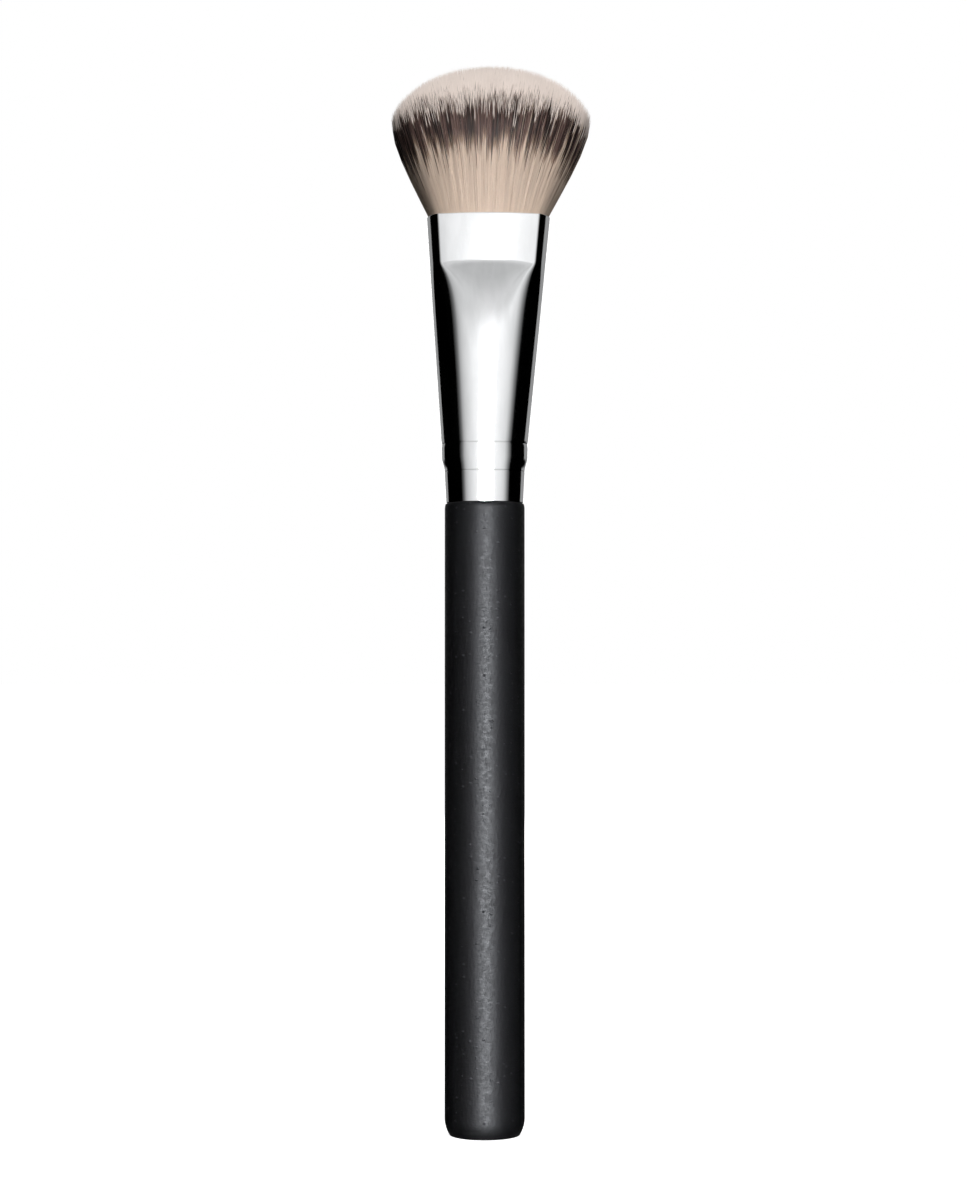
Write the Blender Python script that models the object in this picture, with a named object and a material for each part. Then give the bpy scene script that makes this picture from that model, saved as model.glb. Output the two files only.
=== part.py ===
"""A blush brush: a lacquered wooden handle, a pressed metal ferrule and a three-tone bristle tuft.

Metres, +Z up. The origin is the centre of the handle's flat butt, and the front faces -Y.
Heights in the head are counted from the handle's shoulder, where the ferrule's foot sits.
"""

import math

import bmesh
import bpy
from mathutils import Vector

MM = 0.001

# Facets
ROUND_STEPS = 40
BUTT_STEPS = 5
SHOULDER_STEPS = 3
SMOOTH_ANGLE = math.radians(32)

# Handle
HANDLE_RADIUS = 6.36 * MM
HANDLE_LENGTH = 100.0 * MM
BUTT_ROUND = 5.0 * MM
BUTT_RISE = 2.7 * MM
SHOULDER_ROUND = 0.4 * MM

# Ferrule, from its foot up to its mouth. It is a little narrower than the handle where they meet.
FERRULE_LENGTH = 45.6 * MM
FERRULE_WALL = 0.35 * MM
FOOT_STEP = 0.21 * MM
FOOT_RADIUS = HANDLE_RADIUS - FOOT_STEP
NECK_FLARE = 0.27 * MM
NECK_RADIUS = FOOT_RADIUS + NECK_FLARE
LOW_CRIMP_HEIGHT = 5.0 * MM
CRIMP_SPACING = 4.4 * MM
CRIMP_WIDTH = 0.5 * MM
CRIMP_DEPTH = 0.12 * MM
BEAD_EDGE_SWELL = 0.18 * MM
BEAD_SWELL = 0.5 * MM
CONE_SWELL = 0.48 * MM
CONE_RADIUS = NECK_RADIUS + CONE_SWELL
BELLY_SWELL = 0.1 * MM
MOUTH_HALF_WIDTH = 9.87 * MM
MOUTH_HALF_DEPTH = 6.4 * MM
MOUTH_CORNER = 1.9 * MM
MOUTH_SHIFT = 0.6 * MM
FLAT_HEIGHT = 7.8 * MM
CREASE_HEIGHT = FERRULE_LENGTH - FLAT_HEIGHT
PRESS_LENGTH = 18.8 * MM
PRESS_HEIGHT = CREASE_HEIGHT - PRESS_LENGTH

# The pressed outline turns through its broad face, its corner and its side
FACE_TURN = math.radians(27)
CORNER_TURN = math.radians(60)
PRESS_POWER = 6
PRESS_LEVEL_SHARES = (0.4, 0.58, 0.7, 0.8, 0.87, 0.92, 0.96)

# What holds the handle and the roots inside the ferrule
SEAT_GAP = 0.1 * MM
FOOT_GAP = 0.05 * MM
GLUE_LINE = 0.3 * MM
TENON_RADIUS = FOOT_RADIUS - FERRULE_WALL - GLUE_LINE
TENON_LENGTH = 16.0 * MM
TENON_CHAMFER = 0.8 * MM
GLUE_FOOT_HEIGHT = 1.0 * MM
PLUG_HEIGHT = 24.0 * MM
PLUG_LENGTH = 7.5 * MM
BINDING_RISE = 1.2 * MM
BINDING_WIDTH = 1.5 * MM
BINDING_DEPTH = 0.6 * MM

# Tuft
ROOT_SINK = 1.0 * MM
STRAND_SINK = 0.6 * MM
STRAND_COUNT = 370
STRAND_SIDES = 3
GOLDEN_SHARE = (3 - math.sqrt(5)) / 2
ROOT_RADIUS = 0.22 * MM
LOCK_RADIUS = 0.41 * MM
CROWN_HALF_WIDTH = 16.0 * MM
CROWN_HALF_DEPTH = 10.4 * MM
RIM_RISE = 15.8 * MM
DOME_RISE = 8.5 * MM
DOME_POWER = 1.8
DOME_EASE = 0.6
FRONT_LIFT = 0.02
FLARE_LEAN = 0.21
FLARE_POWER = 3.5
BROWN_START_SHARE = 0.65
PALE_START_SHARE = 0.9


def make_material(name, colour, roughness, metallic=0.0):
    material = bpy.data.materials.new(name)
    material.use_nodes = True
    shader = material.node_tree.nodes["Principled BSDF"]
    shader.inputs["Base Color"].default_value = (*colour, 1.0)
    shader.inputs["Roughness"].default_value = roughness
    shader.inputs["Metallic"].default_value = metallic
    return material


def make_object(name, mesh, materials, height, parent):
    """Adds a mesh as a named object, that stands at this height on the brush's axis."""
    for material in materials:
        mesh.materials.append(material)
    made = bpy.data.objects.new(name, mesh)
    bpy.context.scene.collection.objects.link(made)
    made.location = (0.0, 0.0, height)
    made.parent = parent
    return made


def arc(centre, radius, start, end, steps):
    """Points of an arc in the profile plane, both ends included."""
    angles = [start + (end - start) * step / steps for step in range(steps + 1)]
    return [(centre[0] + radius * math.cos(a), centre[1] + radius * math.sin(a)) for a in angles]


def mouth_radii():
    """Radii of the pressed outline's face and side, that make it as wide and as deep as the mouth."""
    face_wide, face_deep = math.sin(FACE_TURN), 1 - math.cos(FACE_TURN)
    side_wide, side_deep = 1 - math.sin(CORNER_TURN), math.cos(CORNER_TURN)
    wide = MOUTH_HALF_WIDTH - MOUTH_CORNER * (math.sin(CORNER_TURN) - math.sin(FACE_TURN))
    deep = MOUTH_HALF_DEPTH - MOUTH_CORNER * (math.cos(FACE_TURN) - math.cos(CORNER_TURN))
    scale = face_wide * side_deep - side_wide * face_deep
    face = (wide * side_deep - side_wide * deep) / scale
    side = (face_wide * deep - face_deep * wide) / scale
    return face, side


def pressed_point(turn):
    """Place on the mouth's outline where its normal is turned this far from the front, in one quarter."""
    face, side = mouth_radii()
    across, deep = 0.0, MOUTH_HALF_DEPTH
    start = 0.0
    for end, radius in ((FACE_TURN, face), (CORNER_TURN, MOUTH_CORNER), (math.pi / 2, side)):
        reached = min(turn, end)
        if reached > start:
            across += radius * (math.sin(reached) - math.sin(start))
            deep -= radius * (math.cos(start) - math.cos(reached))
        start = end
    return across, deep


def crimp_levels():
    """(height, half-width) of the ferrule's rings up to the start of its plain cone."""
    half = CRIMP_WIDTH / 2
    high_crimp = LOW_CRIMP_HEIGHT + CRIMP_SPACING
    bead_low, bead_high = LOW_CRIMP_HEIGHT + half, high_crimp - half
    edge_radius, bead_radius = NECK_RADIUS + BEAD_EDGE_SWELL, NECK_RADIUS + BEAD_SWELL
    return [
        (0.0, FOOT_RADIUS),
        (LOW_CRIMP_HEIGHT - half, NECK_RADIUS),
        (LOW_CRIMP_HEIGHT, NECK_RADIUS - CRIMP_DEPTH),
        (bead_low, edge_radius),
        ((2 * bead_low + bead_high) / 3, (edge_radius + 2 * bead_radius) / 3),
        ((bead_low + 2 * bead_high) / 3, bead_radius),
        (bead_high, (bead_radius + CONE_RADIUS) / 2),
        (high_crimp, CONE_RADIUS - CRIMP_DEPTH),
        (high_crimp + half, CONE_RADIUS),
    ]


def ferrule_levels():
    """(height, half-width) of all the ferrule's rings, from its foot to its mouth."""
    levels = crimp_levels()
    cone_height = levels[-1][0]
    pressing = [PRESS_HEIGHT + PRESS_LENGTH * share for share in PRESS_LEVEL_SHARES]
    for height in (PRESS_HEIGHT, *pressing, CREASE_HEIGHT, FERRULE_LENGTH):
        share = (height - cone_height) / (FERRULE_LENGTH - cone_height)
        levels.append((height, CONE_RADIUS + (MOUTH_HALF_WIDTH - CONE_RADIUS) * share))
    return levels


def half_width_at(height):
    levels = ferrule_levels()
    for (low, narrow), (high, wide) in zip(levels, levels[1:]):
        if height <= high:
            return narrow + (wide - narrow) * (height - low) / (high - low)
    return levels[-1][1]


def pressed_at(height):
    """How far the round tube is pressed towards the mouth's outline at this height, from 0 to 1."""
    return min(1.0, max(0.0, (height - PRESS_HEIGHT) / PRESS_LENGTH)) ** PRESS_POWER


def shift_at(height):
    """How far the ferrule's centre has moved to +X at this height."""
    cone_height = crimp_levels()[-1][0]
    return MOUTH_SHIFT * max(0.0, (height - cone_height) / (FERRULE_LENGTH - cone_height))


def half_depth_at(height):
    """Half the ferrule's size from front to back: round low down, a slight belly, then pressed in."""
    cone_height, cone_radius = crimp_levels()[-1]
    if height <= cone_height:
        return half_width_at(height)
    swelling = min(1.0, (height - cone_height) / (PRESS_HEIGHT - cone_height))
    belly = cone_radius + BELLY_SWELL * swelling
    return belly + (MOUTH_HALF_DEPTH - belly) * pressed_at(height)


def outline_point(turn, height, inset):
    """Point of the ferrule's outline where its normal is turned this far from the front, less the inset."""
    across, deep = abs(math.sin(turn)), abs(math.cos(turn))
    wide, thick = pressed_point(math.atan2(across, deep))
    pressed = pressed_at(height)
    x = half_width_at(height) * (pressed * wide / MOUTH_HALF_WIDTH + (1 - pressed) * across) - inset * across
    y = half_depth_at(height) * (pressed * thick / MOUTH_HALF_DEPTH + (1 - pressed) * deep) - inset * deep
    x, y = math.copysign(x, math.sin(turn)), -math.copysign(y, math.cos(turn))
    return Vector((shift_at(height) + x, y, height))


def section(height, inset):
    """One ring of the ferrule's outline, taken in by the inset."""
    turns = [2 * math.pi * step / ROUND_STEPS for step in range(ROUND_STEPS)]
    return [outline_point(turn, height, inset) for turn in turns]


def sections(low, high, inset):
    """Rings from one height to another, with one at each of the ferrule's own levels between them."""
    between = [height for height, _ in ferrule_levels() if low + SEAT_GAP < height < high - SEAT_GAP]
    return [section(height, inset) for height in (low, *between, high)]


def circle(height, radius):
    turns = [2 * math.pi * step / ROUND_STEPS for step in range(ROUND_STEPS)]
    return [Vector((radius * math.sin(turn), -radius * math.cos(turn), height)) for turn in turns]


def loft(name, rings, hollow=False):
    """Skins rings of equal count. A hollow loft joins the last ring to the first, a solid one caps both."""
    mesh = bpy.data.meshes.new(name)
    shape = bmesh.new()
    loops = [[shape.verts.new(point) for point in ring] for ring in rings]
    pairs = list(zip(loops, loops[1:]))
    if hollow:
        pairs.append((loops[-1], loops[0]))
    else:
        shape.faces.new(loops[0])
        shape.faces.new(loops[-1])
    for lower, upper in pairs:
        for index in range(len(lower)):
            after = (index + 1) % len(lower)
            shape.faces.new((lower[index], lower[after], upper[after], upper[index]))
    bmesh.ops.recalc_face_normals(shape, faces=shape.faces)
    shape.to_mesh(mesh)
    shape.free()
    mesh.shade_smooth()
    mesh.set_sharp_from_angle(angle=SMOOTH_ANGLE)
    return mesh


def build_handle(material, parent):
    """The turned handle. Its profile runs from the top of the tenon down to the butt."""
    top = HANDLE_LENGTH + TENON_LENGTH
    butt_angle = -math.asin(BUTT_RISE / BUTT_ROUND)
    shoulder_centre = (HANDLE_RADIUS - SHOULDER_ROUND, HANDLE_LENGTH - SHOULDER_ROUND)
    profile = [(0.0, top), (TENON_RADIUS - TENON_CHAMFER, top), (TENON_RADIUS, top - TENON_CHAMFER)]
    profile.append((TENON_RADIUS, HANDLE_LENGTH))
    profile += arc(shoulder_centre, SHOULDER_ROUND, math.pi / 2, 0.0, SHOULDER_STEPS)
    profile += arc((HANDLE_RADIUS - BUTT_ROUND, BUTT_RISE), BUTT_ROUND, 0.0, butt_angle, BUTT_STEPS)
    profile.append((0.0, 0.0))
    mesh = bpy.data.meshes.new("handle")
    edges = [(index, index + 1) for index in range(len(profile) - 1)]
    mesh.from_pydata([(x, 0.0, z) for x, z in profile], edges, [])
    handle = make_object("handle", mesh, [material], 0.0, parent)
    turned = handle.modifiers.new("turned", "SCREW")
    turned.steps = turned.render_steps = ROUND_STEPS
    turned.use_merge_vertices = True
    turned.merge_threshold = SEAT_GAP / 10
    turned.use_smooth_shade = True
    return handle


def build_handle_glue(material, parent):
    """The cured adhesive that fills the space between the tenon and the ferrule."""
    top = TENON_LENGTH - TENON_CHAMFER
    outer = sections(GLUE_FOOT_HEIGHT, top, FERRULE_WALL + SEAT_GAP)
    inner = [circle(height, TENON_RADIUS + SEAT_GAP) for height in (top, GLUE_FOOT_HEIGHT)]
    mesh = loft("handle_glue", outer + inner, hollow=True)
    return make_object("handle_glue", mesh, [material], HANDLE_LENGTH, parent)


def build_ferrule(material, parent):
    """The thin metal tube: round on the handle, rolled with two crimps, pressed to a broad mouth."""
    outer = sections(FOOT_GAP, FERRULE_LENGTH, 0.0)
    inner = sections(FOOT_GAP, FERRULE_LENGTH, FERRULE_WALL)
    mesh = loft("ferrule", outer + inner[::-1], hollow=True)
    return make_object("ferrule", mesh, [material], HANDLE_LENGTH, parent)


def build_root_plug(material, parent):
    """The resin plug that holds the lower ends of the fibres."""
    rings = sections(PLUG_HEIGHT, PLUG_HEIGHT + PLUG_LENGTH, FERRULE_WALL + SEAT_GAP)
    return make_object("root_plug", loft("root_plug", rings), [material], HANDLE_LENGTH, parent)


def binding_heights():
    low = PLUG_HEIGHT + PLUG_LENGTH + SEAT_GAP + BINDING_RISE
    return low, low + BINDING_WIDTH


def build_root_binding(material, parent):
    """The thread, wound tight round the roots, that holds the bundle together until the resin sets."""
    low, high = binding_heights()
    outer = sections(low + SEAT_GAP, high - SEAT_GAP, FERRULE_WALL + SEAT_GAP)
    inner = sections(low + SEAT_GAP, high - SEAT_GAP, FERRULE_WALL + BINDING_DEPTH)
    mesh = loft("root_binding", outer + inner[::-1], hollow=True)
    return make_object("root_binding", mesh, [material], HANDLE_LENGTH, parent)


def root_block_rings():
    """Rings of the packed roots: they fill the ferrule, but for the groove that the binding pulls in."""
    foot, top = PLUG_HEIGHT + PLUG_LENGTH + SEAT_GAP, FERRULE_LENGTH - ROOT_SINK
    full, waist = FERRULE_WALL + SEAT_GAP, FERRULE_WALL + SEAT_GAP + BINDING_DEPTH
    low, high = binding_heights()
    return sections(foot, low, full) + sections(low, high, waist) + sections(high, top, full)


def point_round(outline, share):
    """The point this share of the way round a closed outline."""
    ends = outline[1:] + outline[:1]
    lengths = [(end - start).length for start, end in zip(outline, ends)]
    left = share * sum(lengths)
    for start, end, length in zip(outline, ends, lengths):
        if left <= length:
            return start.lerp(end, left / length)
        left -= length
    return outline[0]


def strand_places():
    """(place at the mouth, share of the way out to its edge) of each strand, spread like a flower's seeds."""
    edge = section(FERRULE_LENGTH, FERRULE_WALL + SEAT_GAP + ROOT_RADIUS)
    centre = Vector((MOUTH_SHIFT, 0.0, FERRULE_LENGTH))
    places = []
    for index in range(STRAND_COUNT):
        share_out = math.sqrt((index + 0.5) / STRAND_COUNT)
        place = centre.lerp(point_round(edge, index * GOLDEN_SHARE % 1), share_out)
        places.append((place, share_out))
    return places


def strand_rise(place, share_out):
    """Height of a strand's tip above the mouth, on a dome whose rim is higher in front and behind."""
    out = share_out * (1 - FRONT_LIFT * (place.y / MOUTH_HALF_DEPTH) ** 2)
    return RIM_RISE + DOME_RISE * (1 - out ** DOME_POWER) ** DOME_EASE


def strand_centre(place, rise, along):
    """Where a strand is, this share of its rise above the mouth. Under the mouth the share is negative."""
    edge = FERRULE_WALL + SEAT_GAP + ROOT_RADIUS
    flare = along * (1 + FLARE_LEAN - FLARE_LEAN * abs(along) ** FLARE_POWER)
    wider = 1 + (CROWN_HALF_WIDTH / (MOUTH_HALF_WIDTH - edge) - 1) * flare
    deeper = 1 + (CROWN_HALF_DEPTH / (MOUTH_HALF_DEPTH - edge) - 1) * flare
    return Vector((place.x * wider, place.y * deeper, FERRULE_LENGTH + along * rise))


def add_strand(shape, place, rise):
    """Adds one strand: cream from its root, brown further out, and pale where it tapers to its tip."""
    root = -(ROOT_SINK + STRAND_SINK) / rise
    starts = ((root, ROOT_RADIUS), (BROWN_START_SHARE, LOCK_RADIUS), (PALE_START_SHARE, LOCK_RADIUS))
    turns = [2 * math.pi * side / STRAND_SIDES for side in range(STRAND_SIDES)]
    loops = []
    for along, radius in starts:
        centre = strand_centre(place, rise, along)
        corners = [centre + Vector((radius * math.cos(t), radius * math.sin(t), 0.0)) for t in turns]
        loops.append([shape.verts.new(corner) for corner in corners])
    tip = shape.verts.new(strand_centre(place, rise, 1.0))
    shape.faces.new(loops[0][::-1])
    for side in range(STRAND_SIDES):
        after = (side + 1) % STRAND_SIDES
        for zone, (lower, upper) in enumerate(zip(loops, loops[1:])):
            face = shape.faces.new((lower[side], lower[after], upper[after], upper[side]))
            face.material_index = zone
        face = shape.faces.new((loops[-1][side], loops[-1][after], tip))
        face.material_index = len(loops) - 1


def strands_mesh():
    """All the strands in one mesh: each runs from inside the root block to a point on the dome."""
    mesh = bpy.data.meshes.new("strands")
    shape = bmesh.new()
    for place, share_out in strand_places():
        add_strand(shape, place, strand_rise(place, share_out))
    shape.to_mesh(mesh)
    shape.free()
    return mesh


def build_bristle_tuft(materials, parent):
    """The fibres: packed solid inside the ferrule, spreading from its mouth to a domed crown."""
    strands = make_object("strands", strands_mesh(), materials, HANDLE_LENGTH, parent)
    strands.hide_render = True
    strands.display_type = "WIRE"
    block = loft("bristle_tuft", root_block_rings())
    tuft = make_object("bristle_tuft", block, materials, HANDLE_LENGTH, parent)
    fused = tuft.modifiers.new("fused strands", "BOOLEAN")
    fused.operation = "UNION"
    fused.object = strands
    return tuft


def clear_scene():
    for old in list(bpy.data.objects):
        bpy.data.objects.remove(old)


def build_brush():
    clear_scene()
    brush = bpy.data.objects.new("blush_brush", None)
    bpy.context.scene.collection.objects.link(brush)
    lacquer = make_material("satin black lacquer", (0.012, 0.012, 0.013), 0.42)
    plate = make_material("bright nickel plate", (0.86, 0.87, 0.88), 0.08, metallic=1.0)
    resin = make_material("amber resin", (0.5, 0.34, 0.14), 0.3)
    adhesive = make_material("white wood adhesive", (0.78, 0.74, 0.62), 0.5)
    thread = make_material("natural cotton thread", (0.72, 0.68, 0.58), 0.9)
    cream = make_material("cream fibre", (0.58, 0.46, 0.36), 0.55)
    brown = make_material("dark brown fibre", (0.07, 0.045, 0.04), 0.55)
    pale = make_material("pale fibre tip", (0.76, 0.68, 0.63), 0.6)
    build_handle(lacquer, brush)
    build_handle_glue(adhesive, brush)
    build_ferrule(plate, brush)
    build_root_plug(resin, brush)
    build_root_binding(thread, brush)
    build_bristle_tuft([cream, brown, pale], brush)


build_brush()
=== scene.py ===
"""Dresses a blush brush for a studio picture: lacquered handle, bright ferrule and a tuft of dipped fibres.

The frame of plain solids gives every place and main size. The front of the brush faces -Y.
"""

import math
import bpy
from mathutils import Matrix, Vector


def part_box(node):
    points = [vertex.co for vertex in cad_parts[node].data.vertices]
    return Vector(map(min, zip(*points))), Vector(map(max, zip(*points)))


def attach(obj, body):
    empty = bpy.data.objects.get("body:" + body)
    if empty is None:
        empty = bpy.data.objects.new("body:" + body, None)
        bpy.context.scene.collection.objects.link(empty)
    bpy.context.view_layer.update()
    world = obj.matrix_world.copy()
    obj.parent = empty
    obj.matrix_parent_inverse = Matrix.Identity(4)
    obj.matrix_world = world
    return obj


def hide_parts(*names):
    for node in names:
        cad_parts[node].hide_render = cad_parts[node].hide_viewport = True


bl_info = {
    "name": "Blush brush",
    "version": (1, 0, 0),
    "blender": (4, 5, 0),
    "location": "3D View > Sidebar > Brush",
    "description": "Builds a blush brush's fine surfaces, its fibres and a studio around it",
    "category": "Object",
}

import bpy
import numpy as np
from bpy.props import FloatProperty, FloatVectorProperty, IntProperty, PointerProperty
from mathutils import Euler, Vector
from mathutils.kdtree import KDTree

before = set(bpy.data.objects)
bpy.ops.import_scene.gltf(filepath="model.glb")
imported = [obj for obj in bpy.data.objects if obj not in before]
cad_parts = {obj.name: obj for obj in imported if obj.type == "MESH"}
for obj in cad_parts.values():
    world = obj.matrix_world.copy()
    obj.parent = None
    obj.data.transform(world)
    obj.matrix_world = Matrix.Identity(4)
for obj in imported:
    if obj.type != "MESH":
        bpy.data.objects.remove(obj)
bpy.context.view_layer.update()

MM = 0.001
BODY = "root"
FOOT_GAP = 0.05 * MM
HANDLE_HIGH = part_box("handle")[1]
PLUG_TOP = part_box("root_plug")[1].z
FERRULE_LOW, FERRULE_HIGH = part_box("ferrule")
SHOULDER = FERRULE_LOW.z - FOOT_GAP
FERRULE_LENGTH = FERRULE_HIGH.z - SHOULDER


# Settings

def number(name, description, default, **more):
    return FloatProperty(name=name, description=description, default=default, **more)


def length(name, description, millimetres):
    """A length, which Blender holds in metres."""
    return number(name, description, millimetres * MM, unit="LENGTH", precision=5)


def power(name, description, watts):
    return number(name, description, watts, unit="POWER")


def count_of(name, description, default):
    return IntProperty(name=name, description=description, default=default)


def colour(name, description, default):
    return FloatVectorProperty(name=name, description=description, default=default, subtype="COLOR", size=3)


class BrushHandleSettings(bpy.types.PropertyGroup):
    """Sizes and finish of the turned handle."""

    radius: length("Radius", "Radius of the straight handle", HANDLE_HIGH.x / MM)
    butt_round: length("Butt round", "Radius of the butt's rounded edge", 5.0)
    butt_rise: length("Butt rise", "Height at which the butt's round starts", 2.7)
    shoulder_fall: length("Shoulder fall", "Height of the soft edge under the ferrule", 0.9)
    shoulder_step: length("Shoulder step", "How far that edge comes in", 0.24)
    tenon_radius: length("Tenon radius", "Radius of the part inside the ferrule", 5.5)
    segments: count_of("Segments", "Facets round the handle", 160)
    lacquer: colour("Lacquer", "Colour of the lacquer", (0.002, 0.002, 0.0023))
    roughness: number("Roughness", "Roughness of the lacquer", 0.5)
    sheen: number("Sheen", "Strength of the lacquer's reflection", 0.14)


class BrushFerruleSettings(bpy.types.PropertyGroup):
    """Sizes and finish of the pressed ferrule."""

    wall: length("Wall", "Thickness of the metal", 0.35)
    lip_round: length("Lip round", "Radius of the edges at the mouth and the foot", 0.1)
    foot_radius: length("Foot radius", "Radius where it meets the handle", 6.15)
    neck_radius: length("Neck radius", "Radius under the lower crimp", 6.42)
    low_crimp: length("Lower crimp", "Height of the lower crimp above the handle", 5.0)
    crimp_spacing: length("Crimp spacing", "Distance between the crimps", 4.4)
    crimp_width: length("Crimp width", "Half-width of the soft dent at the upper crimp", 0.35)
    crimp_depth: length("Crimp depth", "Depth of the soft dent at the upper crimp", 0.06)
    line_width: length("Line width", "Half-width of the fine line in each crimp", 0.08)
    line_depth: length("Line depth", "Depth of the fine line in each crimp", 0.025)
    bead_radius: length("Bead radius", "Radius of the bead between the crimps", 6.86)
    bead_crest: number("Bead crest", "Where between the crimps it is widest", 0.56)
    cone_radius: length("Cone radius", "Radius where the plain cone starts", 6.9)
    belly_swell: length("Belly swell", "How far the cone swells before the pressed part", 0.22)
    mouth_half_width: length("Mouth half-width", "Half the width of the mouth", 9.87)
    mouth_half_depth: length("Mouth half-depth", "Half the depth of the mouth", 6.4)
    mouth_corner: length("Mouth corner", "Radius of the pressed outline's corners", 1.6)
    mouth_shift: length("Mouth shift", "How far the mouth leans to the side", 0.6)
    mouth_lean: length("Mouth lean", "How far the flat band leans out up to the mouth", 0.2)
    flat_height: length("Flat height", "Height of the flat band under the mouth", 8.0)
    press_length: length("Press length", "Height over which round turns to flat", 18.6)
    crease_round: length("Crease round", "Softness of the crease under the flat band", 0.5)
    segments: count_of("Segments", "Facets round the ferrule", 288)
    metal: colour("Metal", "Colour of the plated metal", (0.86, 0.87, 0.88))
    roughness: number("Roughness", "Roughness of the metal", 0.08)


class BrushTuftSettings(bpy.types.PropertyGroup):
    """Sizes, counts and colours of the fibres."""

    outer_count: count_of("Outer fibres", "Fibres in the tuft's skin", 7000)
    inner_count: count_of("Inner fibres", "Fibres that show only at the crown", 12000)
    outer_share: number("Skin share", "Where the skin starts, from the middle out", 0.8)
    fibre_radius: length("Fibre radius", "Radius of a fibre along most of its length", 0.073)
    tip_radius: length("Tip radius", "Radius of a fibre at its tip", 0.03)
    tip_length: length("Tip length", "Length over which a fibre tapers", 2.5)
    core_depth: length("Core depth", "Length of the inner fibres that stand on the packed core", 9.0)
    roundness: number("Roundness", "How far fibres shade as one round tuft", 0.75)
    root_sink: length("Root sink", "How far under the mouth the fibres show", 1.2)
    crown_half_width: length("Crown half-width", "Half the tuft's greatest width", 16.0)
    crown_half_depth: length("Crown half-depth", "Half the tuft's greatest depth", 10.4)
    rim_rise: length("Rim rise", "Height of the crown's rim above the mouth", 15.8)
    dome_rise: length("Dome rise", "Height of the dome above its rim", 8.5)
    front_lift: number("Front lift", "How much higher the rim is in front", 0.02)
    flare_lean: number("Flare lean", "How early the tuft widens", 0.21)
    flare_power: number("Flare power", "How late the sides turn upright", 3.5)
    middle_late: number("Middle late", "How much later the middle fibres fan out", 0.6)
    stray: length("Stray", "How far a tip strays from its place", 0.12)
    uneven: length("Uneven", "How unevenly the fibres are cut", 0.13)
    lock_fibres: count_of("Fibres in a lock", "Fibres that lean together", 5)
    gather: number("Gather", "How far a lock's tips lean together", 0.12)
    pale_length: length("Pale length", "Length of the pale tips on the dome", 3.0)
    rim_pale_length: length("Rim pale length", "Length of the pale tips round the rim", 0.9)
    side_pale_length: length("Side pale length", "How much longer the pale tips are at the sides", 1.2)
    # Painted light: the pale tips run longer at the right side and stand in for the brighter light that falls
    # there.
    right_painted_light_pale_length: length("Right pale length, painted light", "How much longer still they are at the right side", 1.8)
    long_pale_length: length("Long pale length", "How much longer the longest pale tips are", 2.6)
    dark_length: length("Dark length", "Length of the dark band under the tips", 5.65)
    upper_scatter: length("Upper scatter", "How unevenly the band's upper edge lies", 0.85)
    lower_scatter: length("Lower scatter", "How unevenly the band's lower edge lies", 1.25)
    pale: colour("Pale", "Colour of the tips", (0.7, 0.615, 0.562))
    dark: colour("Dark", "Colour of the band", (0.046, 0.029, 0.025))
    dye_edge: colour("Dye edge", "Colour where the dye thins out into the cream", (0.26, 0.155, 0.1))
    cream: colour("Cream", "Colour of the lower fibres", (0.617, 0.493, 0.396))
    seed: count_of("Seed", "Start of the random numbers", 7)


class BrushStageSettings(bpy.types.PropertyGroup):
    """Camera, lamps and cards of the studio."""

    camera_distance: length("Camera distance", "From the handle's axis to the camera", 420)
    camera_height: length("Camera height", "Height of the camera above the floor", 74.5)
    camera_side: length("Camera side", "How far the camera stands to the side", -0.19)
    camera_tilt: number("Camera tilt", "Upward tilt", math.radians(1.386), subtype="ANGLE")
    lens: number("Lens", "Focal length in millimetres", 79.16)
    softbox: number("Softbox", "Radiance of the softbox that metal and lacquer show", 107.0)
    key_power: power("Key", "Power of the lamp in front", 3.3)
    top_power: power("Top", "Power of the lamp above the front", 5.7)
    back_power: power("Back", "Power of the lamp behind", 4.0)
    side_power: power("Side", "Power of the lamp low at the right", 0.9)
    fill: number("Fill", "World light on matt surfaces", 0.06)
    edge_glow: number("Edge glow", "Radiance of the grey card behind", 0.32)
    strip_glow: number("Strip glow", "Radiance of the bright strip behind", 6.0)
    table_glow: number("Table glow", "Radiance of the table under the stage", 0.6)


def settings(name):
    return getattr(bpy.context.scene, name)


# Meshes

def add_object(name, shape, material):
    """A mesh object of a shape, which is its (points, faces)."""
    points, faces = shape
    mesh = bpy.data.meshes.new(name)
    mesh.from_pydata(points, [], faces)
    mesh.materials.append(material)
    made = bpy.data.objects.new(name, mesh)
    bpy.context.scene.collection.objects.link(made)
    return made


def add_piece(name, shape, material, replaced):
    """A piece of the brush, that rides on its body and stands for a node of the frame."""
    piece = add_object(name, shape, material)
    piece.data.shade_smooth()
    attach(piece, BODY)
    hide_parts(replaced)
    return piece


def skin(rings, joined=False):
    """Shape over rings of equal count. Both ends are closed by a point, or joined into a tube's wall."""
    around = len(rings[0])
    last = (len(rings) - 1) * around
    points, faces = np.concatenate(rings), []
    start = np.arange(around)
    after = (start + 1) % around
    pairs = [(low, low + around) for low in range(0, last, around)] + [(last, 0)] * joined
    for low, high in pairs:
        faces += np.stack([low + start, low + after, high + after, high + start], 1).tolist()
    if not joined:
        points = np.concatenate([points, [rings[0].mean(0), rings[-1].mean(0)]])
        faces += [(a, len(points) - 2, b) for a, b in zip(after.tolist(), start.tolist())]
        faces += [(last + a, len(points) - 1, last + b) for a, b in zip(start.tolist(), after.tolist())]
    return points, faces


def round_turns(count):
    return np.arange(count) * 2 * math.pi / count


# The ferrule's shape. A height is counted from the handle's shoulder up.

FACE_TURN = math.radians(17)
CORNER_TURN = math.radians(60)
PRESS_POWER = 6
BEAD_POWER = 4


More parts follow.
